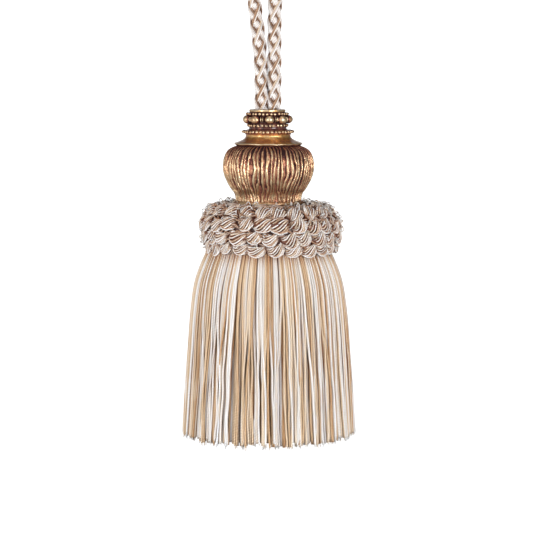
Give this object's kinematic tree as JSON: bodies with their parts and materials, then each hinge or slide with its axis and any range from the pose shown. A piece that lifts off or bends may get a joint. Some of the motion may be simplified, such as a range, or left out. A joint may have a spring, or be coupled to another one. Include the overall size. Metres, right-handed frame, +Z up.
{
  "type": "key tassel",
  "caption": "Hanging key tassel: braided cord loop, gilt beaded and fluted head, looped yarn ruff and a cut fringe skirt.",
  "frame": {"origin": "inside top of the cord loop, the point that rests on the hook or key bow that holds the tassel up", "axes": "+Z up along the tassel's axis, +X to the right across the plane of the loop, +Y to the back"},
  "size_m": [0.0651, 0.0651, 0.1963],
  "materials": {
    "cord_yarn": "round braid of ivory and beige viscose yarns, soft sheen",
    "gilt": "carved wood, gilded over red bole, rubbed and toned brown in the hollows",
    "ruff_yarn": "looped ivory, cream and beige plied yarns, soft sheen",
    "skirt_yarn": "cut fringe of ivory, cream and tan plied viscose yarns, soft sheen"
  },
  "bodies": {
    "root": {"cord_loop": "cord_yarn", "head_collar": "gilt", "head_bulb": "gilt", "ruff": "ruff_yarn", "skirt": "skirt_yarn"}
  },
  "joints": []
}
